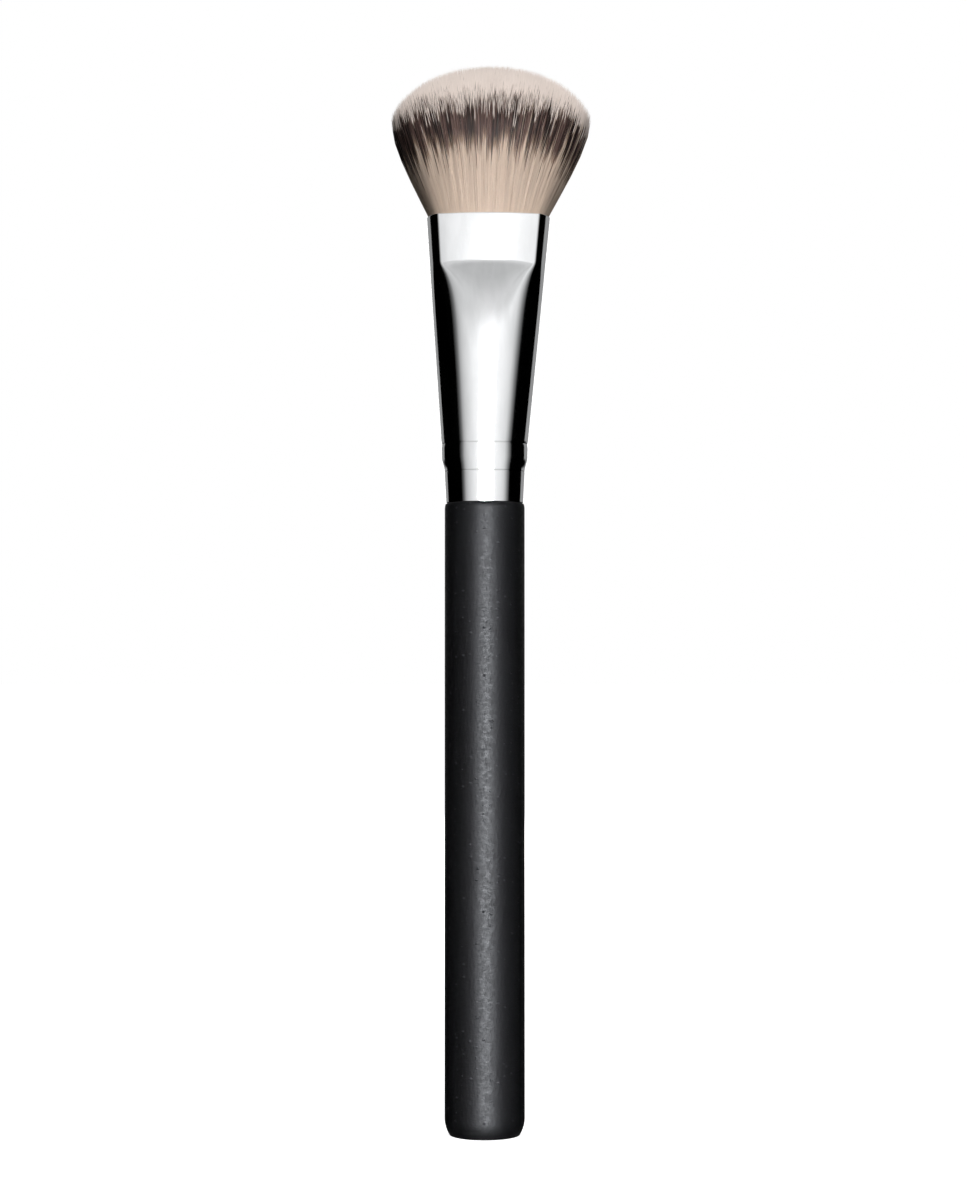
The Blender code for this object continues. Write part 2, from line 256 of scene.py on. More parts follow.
def quarter_outline(size, turns):
    """(across, deep) of a quarter of the mouth's outline, where its normal is turned this far from the front.

    It is a broad arc over the face up to FACE_TURN, a tight corner up to CORNER_TURN, and a broad side.
    """
    corner = size.mouth_corner
    wide = size.mouth_half_width - corner * (math.sin(CORNER_TURN) - math.sin(FACE_TURN))
    deep = size.mouth_half_depth - corner * (math.cos(FACE_TURN) - math.cos(CORNER_TURN))
    bends = np.array([
        [math.sin(FACE_TURN), 1 - math.sin(CORNER_TURN)],
        [1 - math.cos(FACE_TURN), math.cos(CORNER_TURN)],
    ])
    face, side = np.linalg.solve(bends, (wide, deep))
    across, depth, start = np.zeros_like(turns), np.full_like(turns, size.mouth_half_depth), 0.0
    for end, radius in ((FACE_TURN, face), (CORNER_TURN, corner), (math.pi / 2, side)):
        reached = np.clip(turns, start, end)
        across += radius * (np.sin(reached) - math.sin(start))
        depth -= radius * (math.cos(start) - np.cos(reached))
        start = end
    return across, depth


def cone_start(size):
    return size.low_crimp + size.crimp_spacing


def crease_height(size):
    return FERRULE_LENGTH - size.flat_height


def pressed_at(size, height):
    """How far the tube is pressed at this height, from 0 to 1, with a soft crease where the pressing ends."""
    near = np.linspace(-1, 1, 9) * size.crease_round
    shares = np.clip((height + near - crease_height(size) + size.press_length) / size.press_length, 0, 1)
    return float(np.mean(shares ** PRESS_POWER))


def smooth_step(share):
    share = min(1.0, max(0.0, share))
    return share * share * (3 - 2 * share)


def round_radius_at(size, height):
    """Radius of the round lower part at this height: the neck, then the bead between the crimps."""
    if height < size.low_crimp:
        return size.foot_radius + (size.neck_radius - size.foot_radius) * height / size.low_crimp
    share = (height - size.low_crimp) / size.crimp_spacing
    swell = smooth_step(share / size.bead_crest)
    ease = smooth_step((share - size.bead_crest) / (1 - size.bead_crest))
    bead = size.neck_radius + (size.bead_radius - size.neck_radius) * swell
    return bead + (size.cone_radius - size.bead_radius) * ease


def groove(height, middle, depth, half_width):
    """Depth at this height of a soft groove that runs round the tube."""
    return depth * math.exp(-((height - middle) / half_width) ** 2)


def plain_halves_at(size, height):
    """(half width, half depth) of the tube without its bead and crimps, before its faces are pressed."""
    cone, press = cone_start(size), crease_height(size) - size.press_length
    if height < cone:
        radius = size.foot_radius + (size.cone_radius - size.foot_radius) * height / cone
        return radius, radius
    share = (height - cone) / (FERRULE_LENGTH - cone)
    half_width = size.cone_radius + (size.mouth_half_width - size.cone_radius) * share
    return half_width, size.cone_radius + size.belly_swell * min(1.0, (height - cone) / (press - cone))


def bead_at(size, height):
    """How far the bead and the upper crimp's soft dent move the tube's sides out at this height."""
    swell = -groove(height, cone_start(size), size.crimp_depth, size.crimp_width)
    if height < cone_start(size):
        swell += round_radius_at(size, height) - plain_halves_at(size, height)[0]
    return swell


def ferrule_ring(size, height, inset, turns):
    """One ring of the ferrule, in the frame's own coordinates.

    The faces are pressed in most at the crease, and less up to the mouth.
    """
    across, deep = np.abs(np.sin(turns)), np.abs(np.cos(turns))
    wide, thick = quarter_outline(size, np.arctan2(across, deep))
    half_width, belly = plain_halves_at(size, height)
    pressed, cone = pressed_at(size, height), cone_start(size)
    x = half_width * (pressed * wide / size.mouth_half_width + (1 - pressed) * across)
    y = belly * (pressed * thick / size.mouth_half_depth + (1 - pressed) * deep)
    lean = size.mouth_lean * min(1.0, max(0.0, (FERRULE_LENGTH - height) / size.flat_height))
    y -= (belly - size.mouth_half_depth + lean) * pressed * np.minimum(1, 2 * deep)
    lines = sum(groove(height, crimp, size.line_depth, size.line_width) for crimp in (size.low_crimp, cone))
    swell = bead_at(size, height) * across ** BEAD_POWER - lines - inset
    x, y = x + swell * across, y + swell * deep
    x, y = np.copysign(x, np.sin(turns)), -np.copysign(y, np.cos(turns))
    shift = size.mouth_shift * max(0.0, (height - cone) / (FERRULE_LENGTH - cone))
    return np.stack([x + shift, y, np.full_like(x, SHOULDER + height)], 1)


def ferrule_heights(size):
    """Heights of the outer rings, close together at the crimps, the crease and both rounded edges."""
    foot, top = FOOT_GAP + size.lip_round, FERRULE_LENGTH - size.lip_round
    low, high, crease = size.low_crimp, cone_start(size), crease_height(size)
    line, dent, soft = 3 * size.line_width, 3 * size.crimp_width, 2 * size.crease_round
    spans_and_rings = [
        (foot, low, 11), (low - line, low + line, 17), (low, high, 33),
        (high - line, high + line, 17), (high, high + dent, 15), (high + dent, crease - soft, 55),
        (crease - soft, crease + soft, 13), (crease + soft, top, 9),
    ]
    heights = [np.linspace(*span) for span in spans_and_rings]
    heights.append((foot + size.lip_round / 2, top - size.lip_round / 2))
    return np.unique(np.round(np.concatenate(heights), 8))


def ferrule_rings(size):
    """Rings up the outside, over the lip, down the inside and round the foot."""
    turns = round_turns(size.segments)
    lip, low, top = size.lip_round, FOOT_GAP + size.lip_round, FERRULE_LENGTH - size.lip_round
    inner = size.wall - lip
    bends = np.linspace(0, math.pi / 2, 5)[1:]
    rings = [(height, 0.0) for height in ferrule_heights(size)]
    rings += [(top + lip * math.sin(a), lip - lip * math.cos(a)) for a in bends]
    rings += [(top + lip * math.cos(a), inner + lip * math.sin(a)) for a in bends]
    rings += [(height, size.wall) for height in np.linspace(top - 3 * lip, low, 40)]
    rings += [(low - lip * math.sin(a), inner + lip * math.cos(a)) for a in bends]
    rings += [(low - lip * math.cos(a), lip - lip * math.sin(a)) for a in bends[:-1]]
    return [ferrule_ring(size, height, inset, turns) for height, inset in rings]


def handle_rings(size):
    """Rings of the handle from the top of its tenon down to its butt."""
    top, chamfer = HANDLE_HIGH.z, 0.8 * MM
    tenon = size.tenon_radius
    profile = [(tenon - chamfer, top), (tenon, top - chamfer), (tenon, SHOULDER)]
    for angle in np.linspace(0, math.pi / 2, 9):
        out = size.radius - size.shoulder_step * (1 - math.sin(angle))
        profile.append((out, SHOULDER - size.shoulder_fall * (1 - math.cos(angle))))
    straight = np.linspace(SHOULDER - size.shoulder_fall, size.butt_rise, 30)[1:-1]
    profile += [(size.radius, height) for height in straight]
    butt_turn = -math.asin(size.butt_rise / size.butt_round)
    for angle in np.linspace(0.0, butt_turn, 15):
        out = size.radius - size.butt_round + size.butt_round * math.cos(angle)
        profile.append((out, size.butt_rise + size.butt_round * math.sin(angle)))
    turns = round_turns(size.segments)
    return [
        np.stack([radius * np.sin(turns), -radius * np.cos(turns), np.full_like(turns, height)], 1)
        for radius, height in profile
    ]


# Fibres. The way out goes from 0 in the middle of the mouth to 1 at its edge.

# Scatter of the band's upper edge, its lower edge and its tone: a fibre's own share, its lock's share, the
# share of a soft wave across the tuft, and the length of that wave.
DYE_SCATTER = ((0.85, 0.2, 0.4, 1.8 * MM), (0.5, 0.25, 0.75, 1.6 * MM), (0.3, 0.05, 0.1, 3.0 * MM))


def fibre_inset(size, tuft):
    return size.wall + tuft.fibre_radius + FOOT_GAP


def edge_places(size, tuft, shares):
    """Points at the mouth's inner edge, these shares of the way round it."""
    outline = ferrule_ring(size, FERRULE_LENGTH, fibre_inset(size, tuft), round_turns(720))
    outline = np.concatenate([outline, outline[:1]])
    steps = np.linalg.norm(np.diff(outline, axis=0), axis=1)
    passed = np.concatenate([[0.0], np.cumsum(steps)])
    at = shares * passed[-1]
    return np.stack([np.interp(at, passed, outline[:, axis]) for axis in range(3)], 1)


def smooth_noise(rng, places, scale, waves=6):
    """Soft random values, about -1 to 1, that change over this distance across the tuft."""
    value = np.zeros(len(places))
    for _ in range(waves):
        direction, phase = rng.uniform(0, 2 * math.pi, 2)
        stretch = rng.uniform(0.7, 1.6) * 2 * math.pi / scale
        along = places[:, 0] * math.cos(direction) + places[:, 1] * math.sin(direction)
        value += np.sin(stretch * along + phase)
    return value / math.sqrt(waves)


def fibre_roots(rng, size, tuft, count, low, high):
    """(place at the mouth, way out) of fibres spread evenly between two ways out."""
    index = np.arange(count)
    out = np.sqrt(low ** 2 + (high ** 2 - low ** 2) * (index + rng.uniform(0, 1, count)) / count)
    golden, jitter = (3 - math.sqrt(5)) / 2, 0.2 / count ** 0.5
    edge = edge_places(size, tuft, (index * golden + rng.normal(0, jitter, count)) % 1)
    centre = np.array([size.mouth_shift, 0.0, SHOULDER + FERRULE_LENGTH])
    return centre + (edge - centre) * out[:, None], out


def locks_of(rng, places, fibres_each):
    """(number of each fibre's lock, middle of that lock): fibres gather round some of their own number."""
    chosen = rng.choice(len(places), len(places) // fibres_each, replace=False)
    tree = KDTree(len(chosen))
    for lock, place in enumerate(places[chosen]):
        tree.insert(place, lock)
    tree.balance()
    locks = np.array([tree.find(place)[1] for place in places])
    return locks, places[chosen][locks]


def spread_at(size, tuft, share):
    """How many times wider and deeper the tuft is than at the mouth, this share of the way up a fibre."""
    edge = fibre_inset(size, tuft)
    flare = share * (1 + tuft.flare_lean - tuft.flare_lean * np.abs(share) ** tuft.flare_power)
    wider = 1 + (tuft.crown_half_width / (size.mouth_half_width - edge) - 1) * flare
    deeper = 1 + (tuft.crown_half_depth / (size.mouth_half_depth - edge) - 1) * flare
    return wider, deeper


def fibre_rise(size, tuft, places, out):
    """Height of the dome over the mouth where each fibre ends."""
    fullness, steepness, edge = 1.95, 0.65, 0.9999
    lifted = np.minimum(out * (1 - tuft.front_lift * (places[:, 1] / size.mouth_half_depth) ** 2), edge)
    return tuft.rim_rise + tuft.dome_rise * (1 - lifted ** fullness) ** steepness


def fibre_paths(rng, size, tuft, places, out, middles, stub, rings):
    """(points along each fibre, share of its rise at each, rise) from its foot to its tip on the dome.

    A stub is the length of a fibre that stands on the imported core. Without one it starts inside the mouth.
    """
    count = len(places)
    short_share, short_cut, tip_crowding = 0.35, 1.8, 0.85
    middle_reach, fan_power, stray_power = 0.9, 1.9, 1.5
    neat_from, neat_stray = 0.93, 0.6
    shorter = rng.exponential(tuft.uneven * short_cut, count) * (rng.uniform(0, 1, count) < short_share)
    rise = fibre_rise(size, tuft, places, out) + rng.normal(0, tuft.uneven, count) - shorter
    foot = 1 - stub / rise if stub else -tuft.root_sink / rise
    share = foot[:, None] + (1 - foot[:, None]) * np.linspace(0, 1, rings)[None, :] ** tip_crowding
    grown = np.clip(share, 0, 1)
    wider, deeper = spread_at(size, tuft, share)
    aside = np.abs(places[:, 0] - size.mouth_shift) / (middle_reach * size.mouth_half_width)
    late = tuft.middle_late * np.clip(1 - aside ** 2, 0, 1)[:, None]
    widest = spread_at(size, tuft, np.ones_like(share))[0]
    wider = wider + late * (1 + (widest - 1) * grown ** fan_power - wider)
    stray = rng.normal(0, tuft.stray, (count, 2)) * np.where(out > neat_from, neat_stray, 1.0)[:, None]
    bend = rng.normal(0, tuft.stray, (count, 2))
    grown = grown[:, :, None]
    gathered = places[:, None, :2] + (middles - places)[:, None, :2] * (tuft.gather * grown ** 2)
    flat = gathered * np.stack([wider, deeper], 2)
    flat = flat + stray[:, None] * grown ** stray_power + bend[:, None] * np.sin(math.pi * grown)
    z = SHOULDER + FERRULE_LENGTH + share * rise[:, None]
    return np.concatenate([flat, z[:, :, None]], 2), share, rise


def points_each(rings):
    """Points of one three-sided fibre: rings of three, and one at its tip."""
    return 3 * (rings - 1) + 1


def fibre_faces(count, rings):
    """Faces of three-sided fibres: first all their sides, then their tips and roots."""
    side = np.arange(3)
    after = (side + 1) % 3
    last = 3 * (rings - 2)
    lows = range(0, last, 3)
    quads = [np.stack([low + side, low + after, low + 3 + after, low + 3 + side], 1) for low in lows]
    tips = np.stack([last + side, last + after, np.full(3, last + 3)], 1)
    triangles = np.concatenate([tips, [[2, 1, 0]]])
    starts = np.arange(count)[:, None, None] * points_each(rings)
    faces = (np.concatenate(quads) + starts).reshape(-1, 4).tolist()
    return faces + (triangles + starts).reshape(-1, 3).tolist()


def with_tips(body, tips):
    """Values of the rings' three corners, then of the tip, fibre by fibre, as fibre_faces counts them."""
    size = body.shape[-1]
    return np.concatenate([body.reshape(len(tips), -1, size), tips[:, None]], 1).reshape(-1, size)


def at_corners(values):
    """Values of the rings, given to all three corners of each, with the last one for the tip."""
    return with_tips(np.repeat(values[:, :-1, None], 3, axis=2), values[:, -1])


def fibre_points(rng, tuft, paths, share, rise):
    """(corner points, which way each faces) of the fibres."""
    count, rings = share.shape
    taper_power, thinnest, thickest = 0.7, 0.8, 1.15
    taper = np.clip((1 - share) * rise[:, None] / tuft.tip_length, 0, 1) ** taper_power
    thickness = rng.uniform(thinnest, thickest, (count, 1))
    radius = (tuft.tip_radius + (tuft.fibre_radius - tuft.tip_radius) * taper) * thickness
    turn = rng.uniform(0, 2 * math.pi, (count, 1, 1)) + round_turns(3)
    turn = np.broadcast_to(turn, (count, rings, 3))
    facing = np.stack([np.cos(turn), np.sin(turn), np.zeros_like(turn)], 3)
    corners = paths[:, :, None, :] + facing * radius[:, :, None, None]
    up = np.tile((0.0, 0.0, 1.0), (count, 1))
    return with_tips(corners[:, :-1], paths[:, -1]), with_tips(facing[:, :-1], up)


def tuft_facing(size, tuft, paths, share, rise, out):
    """Which way the whole tuft's surface faces at each fibre's rings: out at its sides and up on its dome.

    The narrow sides face further round than they lie, because light leaves a mass of fibres there.
    """
    turns_from, most_turned, right_turned = 0.85, 5.0, 0.45
    wider, deeper = spread_at(size, tuft, share)
    half_width, half_depth = size.mouth_half_width * wider, size.mouth_half_depth * deeper
    x = (paths[:, :, 0] - size.mouth_shift * wider) / half_width ** 2
    y = paths[:, :, 1] / half_depth ** 2
    slant = np.abs(x) / (np.abs(y) + 1e-6)
    near_tip = np.clip(1 - (1 - share) * rise[:, None] / (2 * tuft.tip_length), 0, 1)
    turned = np.minimum(slant / turns_from, most_turned) ** 3 * out[:, None] ** 8 * (1 - near_tip)
    x = x * (1 + turned * np.where(x > 0, right_turned, 1.0))
    z = np.sqrt(1 - np.minimum(out, 0.999) ** 2)[:, None] / tuft.dome_rise * near_tip
    facing = np.stack([x, y, z], 2)
    facing /= np.linalg.norm(facing, axis=2, keepdims=True) + 1e-9
    return at_corners(facing)


def dye_of(rng, size, tuft, places, out, lock):
    """Where each fibre's dark band lies, how dark it is, and which fibres the dye has missed. At the right
    side more fibres are left pale, as painted light.
    """
    count = len(places)
    of_lock = rng.normal(0, 1, (lock.max() + 1, 3))[lock]
    waves = [smooth_noise(rng, places, wave_length) for _, _, _, wave_length in DYE_SCATTER]

    def scatter(kind, least=-math.inf):
        own, shared, wave, _ = DYE_SCATTER[kind]
        return np.maximum(rng.normal(0, own, count), least) + shared * of_lock[:, kind] + wave * waves[kind]

    rim_from, rim_width, long_share = 0.72, 0.22, 0.11
    # The middle and beside shares are fibres the dye really missed. The right share leaves extra fibres pale
    # at the right side: painted light for the brighter light there.
    missed_middle, missed_beside, painted_light_right_share = 0.004, 0.04, 0.45
    to_rim = np.clip((out - rim_from) / rim_width, 0, 1)
    beside = (places[:, 0] - size.mouth_shift) / (size.mouth_half_width * out)
    right = np.maximum(beside, 0)
    # The longer pale tips at the right side are painted light.
    at_rim = tuft.rim_pale_length + tuft.side_pale_length * beside ** 2 + tuft.right_painted_light_pale_length * right ** 6
    pale = tuft.pale_length + (at_rim - tuft.pale_length) * to_rim + tuft.upper_scatter * scatter(0)
    pale += tuft.long_pale_length * rng.uniform(0.2, 1, count) * (rng.uniform(0, 1, count) < long_share)
    dark = tuft.dark_length + tuft.lower_scatter * scatter(1, least=-0.7)
    tone = np.clip(0.5 + scatter(2), 0, 1)
    # Share of fibres left pale: undyed fibres, and at the right side painted light.
    undyed_and_painted_light_share = missed_middle + missed_beside * beside ** 2 + painted_light_right_share * right ** 5
    undyed = (rng.uniform(0, 1, count) < undyed_and_painted_light_share).astype(float)
    return {"pale_length": pale, "dark_length": dark, "tone": tone, "undyed": undyed}


def bake_cells(mesh, count, rings):
    """A map of one narrow cell for each fibre, so that a texture can hold its colours."""
    columns = math.ceil(math.sqrt(count * 3))
    rows = math.ceil(count / columns)
    quad, triangle = ((0, 0), (1, 0), (1, 1), (0, 1)), ((0, 0), (1, 0), (0.5, 1))
    sides = np.array([(s + a, r + b) for r in range(rings - 2) for s in range(3) for a, b in quad])
    tips = np.array([(s + a, rings - 2 + b) for s in range(3) for a, b in triangle])
    root = ((0.35, -0.05), (0.5, -0.02), (0.2, -0.02))
    steps = (3, rings - 1)
    margin, cell_width, cell_height = 0.1, 0.8, 0.85
    fibre, cells = np.arange(count)[:, None], []
    for places in (sides / steps, np.concatenate([tips / steps, root])):
        u = (fibre % columns + margin + cell_width * places[:, 0]) / columns
        v = (fibre // columns + margin + cell_height * places[:, 1]) / rows
        cells.append(np.stack([u, v], 2).reshape(-1, 2))
    layer = mesh.uv_layers.new(name="OFBake")
    layer.data.foreach_set("uv", np.concatenate(cells).astype(np.float32).ravel())


def add_values(mesh, name, values):
    attribute = mesh.attributes.new(name, "FLOAT", "POINT")
    attribute.data.foreach_set("value", values.astype(np.float32))


def add_fibres(name, rng, count, low, high, stub, rings, material):
    """Fibres between two ways out, each with its own dye line and tone."""
    size, tuft = settings("brush_ferrule"), settings("brush_tuft")
    places, out = fibre_roots(rng, size, tuft, count, low, high)
    lock, middles = locks_of(rng, places, tuft.lock_fibres)
    paths, share, rise = fibre_paths(rng, size, tuft, places, out, middles, stub, rings)
    points, facing = fibre_points(rng, tuft, paths, share, rise)
    shape = (points, fibre_faces(count, rings))
    piece = add_piece(name, shape, material, "bristle_tuft")
    whole = tuft_facing(size, tuft, paths, share, rise, out)
    own = (1 - tuft.roundness) * (1 - np.abs(whole[:, :1]) ** 3)
    normals = facing * own + whole * (1 - own)
    normals /= np.linalg.norm(normals, axis=1, keepdims=True) + 1e-9
    piece.data.normals_split_custom_set_from_vertices(normals)
    from_tip = (1 - share) * rise[:, None]
    add_values(piece.data, "from_tip", at_corners(from_tip[:, :, None]).ravel())
    for label, values in dye_of(rng, size, tuft, places, out, lock).items():
        add_values(piece.data, label, np.repeat(values, points_each(rings)))
    bake_cells(piece.data, count, rings)


# Materials

WHITE = (1.0, 1.0, 1.0, 1.0)
FIBRE_VALUES = ("From tip", "Pale length", "Dark length", "Undyed", "Tone")
FIBRE_COLOURS = ("Pale", "Dark", "Dye edge", "Cream")
BLEND_LENGTH = "Blend length"


class Nodes:
    """Adds nodes to a tree and links them in one call."""

    def __init__(self, tree):
        self.tree = tree

    def link(self, source, socket):
        self.tree.links.new(source, socket)

    def add(self, kind, inputs=(), **values):
        node = self.tree.nodes.new(kind)
        for key, value in values.items():
            setattr(node, key, value)
        for key, value in dict(inputs).items():
            if isinstance(value, bpy.types.NodeSocket):
                self.link(value, node.inputs[key])
            else:
                node.inputs[key].default_value = value
        return node

    def maths(self, operation, *values):
        return self.add("ShaderNodeMath", dict(enumerate(values)), operation=operation).outputs[0]

    def product(self, *values):
        result = values[0]
        for value in values[1:]:
            result = self.maths("MULTIPLY", result, value)
        return result

    def ramp(self, value, low, high, start=0.0, end=1.0):
        inputs = {"Value": value, "From Min": low, "From Max": high, "To Min": start, "To Max": end}
        return self.add("ShaderNodeMapRange", inputs, interpolation_type="SMOOTHSTEP").outputs[0]

    def bell(self, value, sharpness):
        """1 where the value is 0 and less on both sides, like a hill at 2 and like a box when sharper."""
        return self.maths("EXPONENT", self.product(self.maths("POWER", value, sharpness), -1.0))

    def mix(self, share, first, second):
        return self.add("ShaderNodeMix", {0: share, 6: first, 7: second}, data_type="RGBA").outputs[2]

    def scaled(self, tint, factor):
        return self.add("ShaderNodeVectorMath", {0: tint, "Scale": factor}, operation="SCALE").outputs[0]

    def group(self, tree, inputs):
        return self.add("ShaderNodeGroup", inputs, node_tree=tree).outputs

    def place(self):
        return self.add("ShaderNodeTexCoord").outputs["Object"]

    def place_axes(self):
        return self.add("ShaderNodeSeparateXYZ", {0: self.place()}).outputs


def rgba(tint, factor=1.0):
    return tuple(factor * value for value in tint) + (1.0,)


def new_group(name, inputs, outputs):
    """An empty shader group. Sockets in FIBRE_COLOURS or called Color are colours, and all others numbers."""
    tree = bpy.data.node_groups.new(name, "ShaderNodeTree")
    for side, labels in (("INPUT", inputs), ("OUTPUT", outputs)):
        for label in labels:
            kind = "Color" if label in (*FIBRE_COLOURS, "Color") else "Float"
            tree.interface.new_socket(label, in_out=side, socket_type="NodeSocket" + kind)
    nodes = Nodes(tree)
    return tree, nodes, nodes.add("NodeGroupInput").outputs, nodes.add("NodeGroupOutput").inputs


def fine_mottle():
    """Shared surface effect: soft mottling and sparse specks, in real sizes."""
    name = "Fine mottle"
    if name in bpy.data.node_groups:
        return bpy.data.node_groups[name]
    tree, nodes, given, made = new_group(name, ("Grain", "Speck", "Stretch"), ("Mottle", "Specks"))
    scale = nodes.add("ShaderNodeCombineXYZ", {"X": 1.0, "Y": 1.0, "Z": given["Stretch"]}).outputs[0]
    place = nodes.add("ShaderNodeVectorMath", {0: nodes.place(), 1: scale}, operation="MULTIPLY").outputs[0]
    grains, cells = (nodes.maths("DIVIDE", 1.0, given[label]) for label in ("Grain", "Speck"))
    look = {"Vector": place, "Scale": grains, "Detail": 3.0, "Roughness": 0.6}
    noise = nodes.add("ShaderNodeTexNoise", look)
    cell = nodes.add("ShaderNodeTexVoronoi", {"Vector": place, "Scale": cells}).outputs
    size = nodes.add("ShaderNodeSeparateColor", {"Color": cell["Color"]}).outputs[0]
    reach = nodes.ramp(size, 0.6, 0.95, 0.001, 0.36)
    specks = nodes.ramp(nodes.maths("DIVIDE", cell["Distance"], reach), 0.0, 1.0, 1.0, 0.0)
    nodes.link(noise.outputs[0], made["Mottle"])
    nodes.link(specks, made["Specks"])
    return tree


def dipped_fibre():
    """Shared fibre colour: pale tip, dark band and cream root, by the distance from the fibre's own tip."""
    name = "Dipped fibre"
    if name in bpy.data.node_groups:
        return bpy.data.node_groups[name]
    labels = (*FIBRE_VALUES, BLEND_LENGTH, *FIBRE_COLOURS)
    tree, nodes, given, made = new_group(name, labels, ("Color", "Band"))
    past = nodes.maths("SUBTRACT", given["From tip"], given["Pale length"])
    upper = nodes.ramp(nodes.maths("DIVIDE", past, given[BLEND_LENGTH]), -0.5, 0.5)
    past = nodes.maths("SUBTRACT", past, given["Dark length"])
    under = nodes.ramp(nodes.maths("DIVIDE", past, given[BLEND_LENGTH]), -1.6, 1.6, 1.0, 0.0)
    undyed_and_painted_light_fade, thin_dye = 0.8, 3.0
    # Undyed fibres, and the fibres left pale at the right side as painted light, lose most of their band.
    kept = nodes.maths("SUBTRACT", 1.0, nodes.product(given["Undyed"], undyed_and_painted_light_fade))
    band = nodes.product(upper, under, kept)
    thin = nodes.product(under, nodes.maths("SUBTRACT", 1.0, under), thin_dye)
    fading = nodes.mix(nodes.product(thin, kept), given["Cream"], given["Dye edge"])
    ground = nodes.mix(upper, given["Pale"], fading)
    dyed = nodes.scaled(given["Dark"], nodes.ramp(given["Tone"], 0.2, 1.0, 0.15, 2.6))
    shade = nodes.ramp(given["Tone"], 0.0, 1.0, 0.93, 1.05)
    nodes.link(nodes.scaled(nodes.mix(band, ground, dyed), shade), made["Color"])
    nodes.link(band, made["Band"])
    return tree


def new_material(name):
    """(material, its nodes, its shader's sockets)."""
    material = bpy.data.materials.new(name)
    material.use_nodes = True
    return material, Nodes(material.node_tree), material.node_tree.nodes["Principled BSDF"].inputs


def lacquer_material():
    """Satin black lacquer: a faint orange peel and a few specks under the coat."""
    look = settings("brush_handle")
    haze, speck_paleness, speck_haze, speck_height = 0.07, 12, 0.2, 1.1
    material, nodes, shader = new_material("Satin black lacquer")
    surface = nodes.group(fine_mottle(), {"Grain": 0.8 * MM, "Speck": 1.1 * MM, "Stretch": 1.3})
    mottle, specks = surface["Mottle"], surface["Specks"]
    speckled = nodes.mix(specks, rgba(look.lacquer), rgba(look.lacquer, speck_paleness))
    nodes.link(speckled, shader["Base Color"])
    rough = nodes.ramp(mottle, 0.3, 0.7, look.roughness - haze, look.roughness + haze)
    nodes.link(nodes.maths("MULTIPLY_ADD", specks, speck_haze, rough), shader["Roughness"])
    shader["Specular IOR Level"].default_value = look.sheen
    shader["Specular Tint"].default_value = (0.92, 0.95, 1.0, 1.0)
    height = nodes.maths("ADD", mottle, nodes.product(specks, speck_height))
    bump = nodes.add("ShaderNodeBump", {"Height": height, "Strength": 1.0, "Distance": 0.038 * MM})
    nodes.link(bump.outputs[0], shader["Normal"])
    return material


def plate_material():
    """Bright plated metal: polished, with a faint haze that changes along the piece."""
    look = settings("brush_ferrule")
    haze, dulling = 0.02, 0.95
    material, nodes, shader = new_material("Bright nickel plate")
    mottle = nodes.group(fine_mottle(), {"Grain": 2.2 * MM, "Speck": 3.0 * MM, "Stretch": 0.25})["Mottle"]
    dull = nodes.mix(nodes.ramp(mottle, 0.35, 0.7), rgba(look.metal), rgba(look.metal, dulling))
    nodes.link(dull, shader["Base Color"])
    rough = nodes.ramp(mottle, 0.3, 0.7, look.roughness - haze, look.roughness + haze)
    nodes.link(rough, shader["Roughness"])
    shader["Metallic"].default_value = 1.0
    return material


def fibre_material(name):
    """Dyed synthetic fibre: the band lies where each fibre's own dye line is."""
    look = settings("brush_tuft")
    material, nodes, shader = new_material(name)
    stored = {label: label.lower().replace(" ", "_") for label in (*FIBRE_VALUES, *FIBRE_COLOURS)}
    values = {label: rgba(getattr(look, stored[label])) for label in FIBRE_COLOURS}
    values[BLEND_LENGTH] = 0.8 * MM
    for label in FIBRE_VALUES:
        values[label] = nodes.add("ShaderNodeAttribute", attribute_name=stored[label]).outputs["Fac"]
    dipped = nodes.group(dipped_fibre(), values)
    nodes.link(dipped["Color"], shader["Base Color"])
    nodes.link(nodes.ramp(dipped["Band"], 0.0, 1.0, 0.55, 0.42), shader["Roughness"])
    shader["Specular IOR Level"].default_value = 0.15
    return material


def hidden_material(name, tint, roughness, grain):
    """Cured glue, resin, thread or packed roots inside the ferrule."""
    haze, darkening = 0.08, 0.8
    material, nodes, shader = new_material(name)
    mottle = nodes.group(fine_mottle(), {"Grain": grain, "Speck": 2 * grain, "Stretch": 1.0})["Mottle"]
    nodes.link(nodes.mix(mottle, rgba(tint), rgba(tint, darkening)), shader["Base Color"])
    nodes.link(nodes.ramp(mottle, 0.2, 0.8, roughness - haze, roughness + haze), shader["Roughness"])
    return material


# Operators

class BRUSH_OT_handle(bpy.types.Operator):
    """Builds the turned and lacquered handle"""

    bl_idname = "brush.handle"
    bl_label = "Handle"

    def execute(self, context):
        shape = skin(handle_rings(settings("brush_handle")))
        add_piece("lacquered_handle", shape, lacquer_material(), "handle")
        return {"FINISHED"}


class BRUSH_OT_ferrule(bpy.types.Operator):
    """Builds the crimped and pressed metal ferrule"""

    bl_idname = "brush.ferrule"
    bl_label = "Ferrule"

    def execute(self, context):
        shape = skin(ferrule_rings(settings("brush_ferrule")), joined=True)
        add_piece("pressed_ferrule", shape, plate_material(), "ferrule")
        return {"FINISHED"}


class BRUSH_OT_inside(bpy.types.Operator):
    """Gives the glue, the resin plug and the thread inside the ferrule their finishes"""

    bl_idname = "brush.inside"
    bl_label = "Inside pieces"

    def execute(self, context):
        finishes = {
            "handle_glue": hidden_material("White wood adhesive", (0.78, 0.74, 0.62), 0.5, 1.0 * MM),
            "root_plug": hidden_material("Amber resin", (0.5, 0.34, 0.14), 0.3, 2.0 * MM),
            "root_binding": hidden_material("Cotton thread", (0.72, 0.68, 0.58), 0.85, 0.3 * MM),
        }
        for name, material in finishes.items():
            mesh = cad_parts[name].data
            mesh.materials.clear()
            mesh.materials.append(material)
        return {"FINISHED"}


